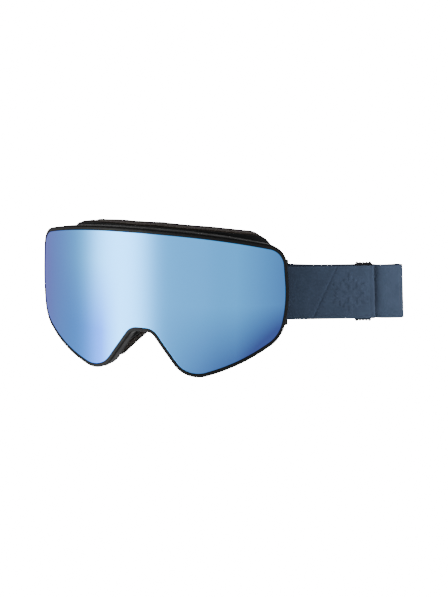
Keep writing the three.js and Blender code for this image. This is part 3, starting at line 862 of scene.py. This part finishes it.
def beside_strap(side, angle):
    """Points beside a doubled strap: along it from its bar, to its outer side, at a height."""
    start = BAR * [side, 1]
    along = np.array([math.cos(angle), math.sin(angle)])
    outwards = np.array([along[1], -along[0]]) * side

    def at(distance, offset, height=STRAP_HEIGHT):
        return np.array([*(start + along * distance + outwards * offset), height])
    return at


near, far = beside_strap(1, STRAP_ANGLE), beside_strap(-1, FAR_STRAP_ANGLE)


def resampled(path, spacing):
    """The path with even spacing, and the distance along it at each point."""
    path = np.asarray(path, float)
    lengths = np.concatenate([[0], np.cumsum(np.linalg.norm(np.diff(path, axis=0), axis=1))])
    stations = np.linspace(0, lengths[-1], max(2, round(lengths[-1] / spacing) + 1))
    return np.column_stack([np.interp(stations, lengths, path[:, k]) for k in range(3)]), stations


def catmull_rom(knots, steps=40):
    """A centripetal Catmull-Rom curve through the knots."""
    knots = np.asarray(knots, float)
    knots = np.vstack([2 * knots[0] - knots[1], knots, 2 * knots[-1] - knots[-2]])
    curve = []
    for p0, p1, p2, p3 in zip(knots, knots[1:], knots[2:], knots[3:]):
        d1, d2, d3 = (max(np.linalg.norm(b - a), 1e-6) ** 0.5 for a, b in ((p0, p1), (p1, p2), (p2, p3)))
        m1 = ((p1 - p0) / d1 - (p2 - p0) / (d1 + d2) + (p2 - p1) / d2) * d2
        m2 = ((p2 - p1) / d2 - (p3 - p1) / (d2 + d3) + (p3 - p2) / d3) * d2
        t = (np.arange(steps) / steps)[:, None]
        curve.append((2 * t**3 - 3 * t**2 + 1) * p1 + (t**3 - 2 * t**2 + t) * m1
                     + (3 * t**2 - 2 * t**3) * p2 + (t**3 - t**2) * m2)
    return np.vstack([*curve, knots[-2]])


def webbing(name, path, stations, rows=14, lean=0.0, relief=None):
    """Flat webbing that stands on its edge along a path. Its sections lean back towards the left
    outrigger by lean, in radians, and relief(station, height) raises its outer face."""
    path = np.asarray(path, float)
    ahead, behind = np.vstack([path[1:], path[-1:]]), np.vstack([path[:1], path[:-1]])
    tangent = ahead - behind
    across = np.column_stack([tangent[:, 1], -tangent[:, 0], np.zeros(len(path))])
    across /= np.linalg.norm(across, axis=1)[:, None]
    lean = np.broadcast_to(lean, len(path))[:, None]
    upward = UP * np.cos(lean) - STRAP_ALONG * np.sin(lean)
    half, edge = STRAP_WIDTH / 2, EDGE_ROUNDING
    arc = [(edge * math.sin(q), edge * (1 - math.cos(q))) for q in np.linspace(0, math.pi / 2, 4)]
    top, foot = half - edge, edge - half
    heights = np.linspace(foot, top, rows + 1)
    inner_heights = heights[::max(1, rows // 14)][::-1]
    # (side, height, how far in from that face), up the outer face and down the inner one
    section = [(1.0, h, 0.0) for h in heights]
    section += [(1.0, top + rise, inset) for rise, inset in arc[1:]]
    section += [(-1.0, top + rise, inset) for rise, inset in arc[::-1]]
    section += [(-1.0, h, 0.0) for h in inner_heights[1:]]
    section += [(-1.0, foot - rise, inset) for rise, inset in arc[1:]]
    section += [(1.0, foot - rise, inset) for rise, inset in arc[:0:-1]]
    rings, uv = [], []
    for i, station in enumerate(stations):
        ring = []
        for side, height, inset in section:
            out = side * (STRAP_THICKNESS / 2 - inset)
            from_edge = half - abs(height)
            out -= side * SELVAGE_DEPTH * math.exp(-((from_edge - SELVAGE) / SELVAGE_SPREAD) ** 2)
            if relief is not None and side > 0 and inset == 0:
                out += relief(station, height)
            ring.append(path[i] + across[i] * out + upward[i] * height)
            uv.append((station, height + (0 if side > 0 else 2 * half)))
        rings.append(np.array(ring))
    return build(name, capped(rings), WEBBING, uv)


def bends(item, first, second, start, end, *nodes):
    """item, of webbing, has its place baked into its mesh and stands for these CAD nodes, which it hides.
    first, second, start and end are not used.
    """
    if nodes:
        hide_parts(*nodes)
    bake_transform(item)


# ---- the path of the one length of webbing, from behind the slider round the left outrigger
def wrap_path(beside, leg):
    """Round the outrigger's bar, from the outer layer to the inner one."""
    turn = [beside(-LAYER_OFFSET * math.sin(a), LAYER_OFFSET * math.cos(a))
            for a in np.linspace(0, math.pi, 25)]
    return [beside(leg, LAYER_OFFSET), *turn, beside(leg, -LAYER_OFFSET)]


JOINT_ZONE = 7.0  # the strap would bend with an outrigger up to here from its bar
PANEL_END = SLIDER_START + SLIDER_LENGTH + 0.3
FOLD_LIP = 0.95  # radius of the panel's end fold
SLIDE_ZONE = (JOINT_ZONE, 32.0)  # where the panel would give when the slider moves

wrap, wrap_stations = resampled(wrap_path(near, JOINT_ZONE), 0.8)
bends(webbing("strap_wrap_front", wrap, wrap_stations), "outrigger_left", "goggle_frame",
      near(1.0, 0), near(JOINT_ZONE, 0), "strap_wrap_left")

EMBLEM_AT, EMBLEM_RADIUS, EMBLEM_RAISE = (44.0, -0.5), 12.0, 0.45
BRANCH_AT, BRANCH_LENGTH = 0.55, 0.34  # of an arm's branches, as parts of the arm's length
SEAM_TOP, SEAM_BOTTOM, SEAM_DEPTH = 35.0, 18.6, 0.4
RIDGE_RAISE, RIDGE_GROOVE = 0.25, 0.15  # where the panel's end passes over the slider's last bar


def near_segment(x, y, ax, ay, bx, by):
    t = max(0.0, min(1.0, ((x - ax) * (bx - ax) + (y - ay) * (by - ay)) / ((bx - ax) ** 2 + (by - ay) ** 2)))
    return math.hypot(x - ax - t * (bx - ax), y - ay - t * (by - ay))


def snow_crystal(x, y):
    """Distance to the lines of a plain six-armed crystal."""
    r, sector = math.hypot(x, y), math.pi / 3
    angle = math.atan2(y, x) + math.pi / 2
    angle = abs((angle + sector / 2) % sector - sector / 2)
    x, y = r * math.cos(angle), r * math.sin(angle)
    size = EMBLEM_RADIUS
    tip = (BRANCH_AT + BRANCH_LENGTH * math.cos(sector), BRANCH_LENGTH * math.sin(sector))
    return min(near_segment(x, y, 0, 0, size, 0),
               near_segment(x, y, BRANCH_AT * size, 0, tip[0] * size, tip[1] * size))


def panel_relief(station, height):
    """The raised crystal and the pressed slanting line on the front panel."""
    lines = snow_crystal(station - EMBLEM_AT[0], height - EMBLEM_AT[1])
    raised = EMBLEM_RAISE * (1 - float(smoothstep(lines, 0.85, 1.35)))
    slant = SEAM_BOTTOM + (SEAM_TOP - SEAM_BOTTOM) * (height + STRAP_WIDTH / 2) / STRAP_WIDTH
    groove = -SEAM_DEPTH * math.exp(-((station - slant) / 0.7) ** 2)
    ridge = RIDGE_RAISE * math.exp(-((station - PANEL_END - 0.4) / 0.7) ** 2)
    dip = -RIDGE_GROOVE * math.exp(-((station - PANEL_END + 1.9) / 0.8) ** 2)
    return raised + groove + ridge + dip


fold = [near(PANEL_END + FOLD_LIP * math.sin(a), LAYER_OFFSET - FOLD_LIP * (1 - math.cos(a)))
        for a in np.linspace(0, math.pi, 25)[1:]]
panel_path, panel_stations = resampled([near(JOINT_ZONE, LAYER_OFFSET), near(PANEL_END, LAYER_OFFSET),
                                        *fold], 0.4)
panel_stations += JOINT_ZONE
panel = webbing("strap_panel_front", panel_path, panel_stations, rows=84, relief=panel_relief,
                lean=FOLD_TILT * smoothstep(panel_stations, 34, 50))
bends(panel, "goggle_frame", "strap_slider", near(SLIDE_ZONE[0], 0), near(SLIDE_ZONE[1], 0),
      "strap_panel")

# ---- the rest: behind the slider, round the end fold and back behind the foam
BACK_ROUTE = [(118, 83.5, 5.2), (70, 89.5, 1), (10, 92, 1.5), (-48, 91, 5), (-84, 85.5, 8)]
HEM_START = 24.0  # distance from the right bar where the sewn end begins
turn_at = STRAP_REACH - STRAP_THICKNESS / 2 - FOLD_RADIUS
REAR_FLUSH = 1.9  # how far out the strap lies beyond the panel
BEHIND_SLIDER = -LAYER_OFFSET - 0.15  # the inner layer is kept clear of the slider's bars
fold_turn = [near(turn_at + FOLD_RADIUS * math.sin(a), REAR_FLUSH + FOLD_RADIUS * (math.cos(a) - 1))
             for a in np.linspace(0, math.pi, 19)]
back_run = catmull_rom([
    near(70, -2 * FOLD_RADIUS - 0.3, STRAP_HEIGHT - 0.8), *map(np.array, BACK_ROUTE),
    far(HEM_START, LAYER_OFFSET), far(22, LAYER_OFFSET), far(12, LAYER_OFFSET),
])
hem_index = int(np.argmin(np.linalg.norm(back_run - far(HEM_START, LAYER_OFFSET), axis=1)))
inner_layer = catmull_rom([
    near(JOINT_ZONE, -LAYER_OFFSET), near(20, BEHIND_SLIDER), near(40, BEHIND_SLIDER),
    near(59.5, BEHIND_SLIDER), near(63.8, 0.9), near(67, REAR_FLUSH), near(turn_at, REAR_FLUSH),
])
rear_path, rear_stations = resampled([*inner_layer, *fold_turn[1:], *back_run[:hem_index + 1]], 1.5)
fold_station = float(np.linalg.norm(np.diff(np.vstack([inner_layer, fold_turn[1:10]]), axis=0),
                                    axis=1).sum())
lean = FOLD_TILT * (smoothstep(rear_stations, fold_station - 18, fold_station - 3)
                    + smoothstep(rear_stations, fold_station, fold_station + 5)
                    - 2 * smoothstep(rear_stations, fold_station + 25, fold_station + 80))
rear = webbing("strap_rear_run", rear_path, rear_stations, lean=lean)
piece(rear, "goggle_frame", "webbing", "strap_rear")

# ---- the sewn end at the right outrigger
HEM_LENGTH = 22.0
SEWN_FROM = 9.0
touching = LAYER_OFFSET - STRAP_THICKNESS - 0.05
far_path, far_stations = resampled(np.vstack([
    back_run[hem_index:-1], wrap_path(far, 2.0),
    catmull_rom([far(2.0, -LAYER_OFFSET), far(5, -LAYER_OFFSET * 0.6), far(SEWN_FROM, touching),
                 far(HEM_LENGTH, touching)])[1:],
]), 0.8)
sewn_end = webbing("strap_sewn_end", far_path, far_stations)
FAR_ZONE = far(20.0, 0), far(1.5, 0)
bends(sewn_end, "goggle_frame", "outrigger_right", *FAR_ZONE, "strap_wrap_right", "strap_hem_right")


def stitch_row(start, end, pitch=2.6, length=1.9):
    """Sewn stitches along a line, each a short flattened rod."""
    start, end = np.asarray(start), np.asarray(end)
    total = np.linalg.norm(end - start)
    along = (end - start) / total
    count = int(total // pitch)
    half = along * length / 2
    middles = [start + along * (i + 0.5) * total / count for i in range(count)]
    return [rod(middle - half, middle + half, 0.28, 0.24, 8) for middle in middles]


def box_stitch(offset):
    low, high = STRAP_BOTTOM + 4, STRAP_TOP - 4
    corners = [(SEWN_FROM + 1, low), (SEWN_FROM + 1, high), (HEM_LENGTH - 2, high), (HEM_LENGTH - 2, low)]
    points = [far(distance, offset, height) for distance, height in corners]
    rows = [stitch_row(a, b) for a, b in zip(points, points[1:] + points[:1])]
    return [stitch for row in rows for stitch in row]


outer_face, hem_face = LAYER_OFFSET + STRAP_THICKNESS / 2, touching - STRAP_THICKNESS / 2
stitches = build("hem_stitches", combine(*box_stitch(outer_face + 0.02), *box_stitch(hem_face - 0.02)),
                 THREAD)
bends(stitches, "goggle_frame", "outrigger_right", *FAR_ZONE)

# ---- silicone grip beads along the inside of the rear strap
BEAD_HEIGHTS, BEAD_OFF = (10, 0, -10), 0.35  # up the strap, and out from its inner face
BEAD_HALF = (0.45, 1.1)  # half a bead's depth and height
BEAD_TAPER, BEAD_TIP = 4, 0.15  # over half this length an end shrinks to this part of full size
bead_low, bead_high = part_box("grip_bead_2")
left_end, right_end = to_goggle(bead_low)[0], to_goggle(bead_high)[0]
bead_run = back_run[(back_run[:, 0] > left_end) & (back_run[:, 0] < right_end)]
bead_run, bead_stations = resampled(bead_run, 1.5)
beads = []
for height in BEAD_HEIGHTS:
    centre = bead_run + [0, -(STRAP_THICKNESS / 2 + BEAD_OFF), height]
    ends = np.sin(np.pi * np.clip(bead_stations / BEAD_TAPER, 0, 0.5)) * np.sin(
        np.pi * np.clip((bead_stations[-1] - bead_stations) / BEAD_TAPER, 0, 0.5))
    angles = np.linspace(0, 2 * math.pi, 17)[:-1]
    rings = []
    for point, size in zip(centre, BEAD_TIP + (1 - BEAD_TIP) * ends):
        rings.append(np.column_stack([
            np.full(len(angles), point[0]), point[1] + BEAD_HALF[0] * size * np.cos(angles),
            point[2] + BEAD_HALF[1] * size * np.sin(angles),
        ]))
    beads.append(capped(rings))
piece(build("grip_beads", combine(*beads), SILICONE), "goggle_frame", "silicone",
      "grip_bead_1", "grip_bead_2", "grip_bead_3")

# ---------------- slider
SLIDER_BAR, SLIDER_DEPTH = 2, 2.6
END_BAR_IN = 1.1  # middle of an end bar, in from the slider's end
CAP, CAP_GAP, CAP_DEPTH = 0.9, 0.25, 5
RIB_PITCH, RIB_REACH, RIB_OUT = 2.2, 2.55, 0.2
RIB_RADII = [0.9, 0.7, 0.66, 0.7, 0.9]
slider_parts = []
for k in (-1, 0, 1):
    slider_parts.append(block((SLIDER_BAR, SLIDER_DEPTH, STRAP_WIDTH + 2 * CAP_GAP + CAP),
                              (k * (SLIDER_LENGTH / 2 - END_BAR_IN), 0, 0), 0.55))
for end in (1, -1):
    level = end * (STRAP_WIDTH / 2 + CAP_GAP + CAP / 2)
    slider_parts.append(block((SLIDER_LENGTH, CAP_DEPTH, CAP), (0, 0, level), 0.5))
    for i, radius in enumerate(RIB_RADII):
        x = (i - (len(RIB_RADII) - 1) / 2) * RIB_PITCH
        height = level + end * RIB_OUT
        slider_parts.append(rod((x, -RIB_REACH, height), (x, RIB_REACH, height), radius, 0.3))
points, faces = combine(*slider_parts)
turn = np.array(Matrix.Rotation(STRAP_ANGLE, 3, "Z"))
points = points @ turn.T + near(SLIDER_START + SLIDER_LENGTH / 2, 0)
piece(build("ladder_slider", (points, faces), SLIDER_BLACK), "strap_slider", "slider_plastic", "slider")

# ---------------- camera
CAMERA_AZIMUTH, CAMERA_ELEVATION = math.radians(24), math.radians(12)
CAMERA_DISTANCE = 1570.0  # from the middle of the goggles
FOCUS = np.array([0, 20.93, 0])
AIM_RIGHT, AIM_UP = 47.4, 1.75  # the picture's centre, beside that middle
FOCAL_LENGTH = 139.9
back = np.array([math.sin(CAMERA_AZIMUTH) * math.cos(CAMERA_ELEVATION),
                 -math.cos(CAMERA_AZIMUTH) * math.cos(CAMERA_ELEVATION), math.sin(CAMERA_ELEVATION)])
right = np.array([math.cos(CAMERA_AZIMUTH), math.sin(CAMERA_AZIMUTH), 0])
stand = to_frame(FOCUS + CAMERA_DISTANCE * back)
aim = to_frame(FOCUS + AIM_RIGHT * right + AIM_UP * np.cross(back, right))
camera_data = bpy.data.cameras.new("Camera")
camera_data.lens = FOCAL_LENGTH
camera = placed("Camera", camera_data)
camera.location = stand
backward = Vector(stand - aim).normalized()
rightward = Vector(right - np.dot(right, backward) * np.array(backward)).normalized()
camera.rotation_euler = Matrix((rightward, backward.cross(rightward), backward)).transposed().to_euler()
bpy.context.scene.camera = camera

# ---------------- floor and light
FLOOR_GLOW = 18.0  # what lifts the floor to the white of the backdrop


def pale_floor():
    """White floor that a camera sees as bright as the backdrop, and that still takes a soft shadow."""
    look = Look("Pale floor", (0.9, 0.9, 0.9), 0.9)
    look.mottle(look.noise(400, 2), 0.02)
    seen = look.node("ShaderNodeLightPath").outputs["Is Camera Ray"]
    look.shader.inputs["Emission Color"].default_value = (1, 1, 1, 1)
    look.drive("Emission Strength", look.times(seen, FLOOR_GLOW))
    return look.material


floor_mesh = bpy.data.meshes.new("floor")
floor_mesh.from_pydata([(-30, -30, 0), (30, -30, 0), (30, 30, 0), (-30, 30, 0)], [], [(0, 1, 2, 3)])
floor_mesh.materials.append(pale_floor())
floor_item = placed("floor", floor_mesh)
floor_item.visible_glossy = False
floor_item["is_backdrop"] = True

ROOM = [  # azimuth in degrees from the front, and the light from there
    (-180, 0.8), (-110, 0.8), (-90, 0.95), (-76, 1.05), (-64, 1.8), (-53, 5.2), (-41, 7.2), (-29, 6.2),
    (-17, 2.0), (-6, 1.4), (13, 1.35), (24, 1.2), (56, 1.15), (90, 1.2), (120, 0.9), (180, 0.8),
]
BACKDROP, SOFT_LIGHT, ROOM_PEAK = 18.0, 0.14, 8.0
OVERHEAD = 0.25  # the room's light overhead, as a part of its light at the horizon
world = bpy.data.worlds.new("Studio")
bpy.context.scene.world = world
world.use_nodes = True
world.node_tree.nodes.clear()
sky = Nodes(world.node_tree)
direction = sky.node("ShaderNodeTexCoord").outputs["Generated"]
x, y, z = sky.node("ShaderNodeSeparateXYZ", {0: direction}).outputs
azimuth = sky.math("ARCTAN2", x, sky.math("MULTIPLY", y, -1))
ramp = sky.node("ShaderNodeValToRGB", {0: sky.between(azimuth, -math.pi, math.pi, 0, 1)})
ramp.color_ramp.interpolation = "B_SPLINE"
stops = ramp.color_ramp.elements
stops.remove(stops[1])
for index, (degrees, level) in enumerate(ROOM):
    stop = stops[0] if index == 0 else stops.new((degrees + 180) / 360)
    stop.position = (degrees + 180) / 360
    stop.color = (*[level / ROOM_PEAK] * 3, 1)
level = sky.between(z, 0.0, 0.3, ROOM_PEAK, OVERHEAD * ROOM_PEAK)
room = sky.node("ShaderNodeBackground", {0: ramp.outputs[0], 1: level})
plain = sky.node("ShaderNodeBackground", {0: (1, 1, 1, 1), 1: SOFT_LIGHT})
backdrop = sky.node("ShaderNodeBackground", {1: BACKDROP})
ray = sky.node("ShaderNodeLightPath").outputs
seen = plain
for kind, light in (("Is Glossy Ray", room), ("Is Camera Ray", backdrop)):
    seen = sky.node("ShaderNodeMixShader", {0: ray[kind], 1: seen.outputs[0], 2: light.outputs[0]})
sky.node("ShaderNodeOutputWorld", {0: seen.outputs[0]})


def softbox(name, at, towards, size, power):
    """A round area light at a point in goggle millimetres, out of the camera's sight."""
    data = bpy.data.lights.new(name, "AREA")
    data.shape, data.size, data.energy = "DISK", size * MM, power
    light = placed(name, data)
    at, towards = Vector(to_frame(at)), Vector(to_frame(towards))
    light.location = at
    light.rotation_euler = (towards - at).to_track_quat("-Z", "Y").to_euler()
    light.visible_glossy = light.visible_camera = False


softbox("Strap light", (228, 14, 35), (150, 84, 8), 60, 0.21)
softbox("Top light", (-200, -300, 1100), (0, 20, 0), 900, 2.0)
softbox("Back light", (-150, 1300, 420), (0, 40, 0), 700, 15)

low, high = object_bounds()
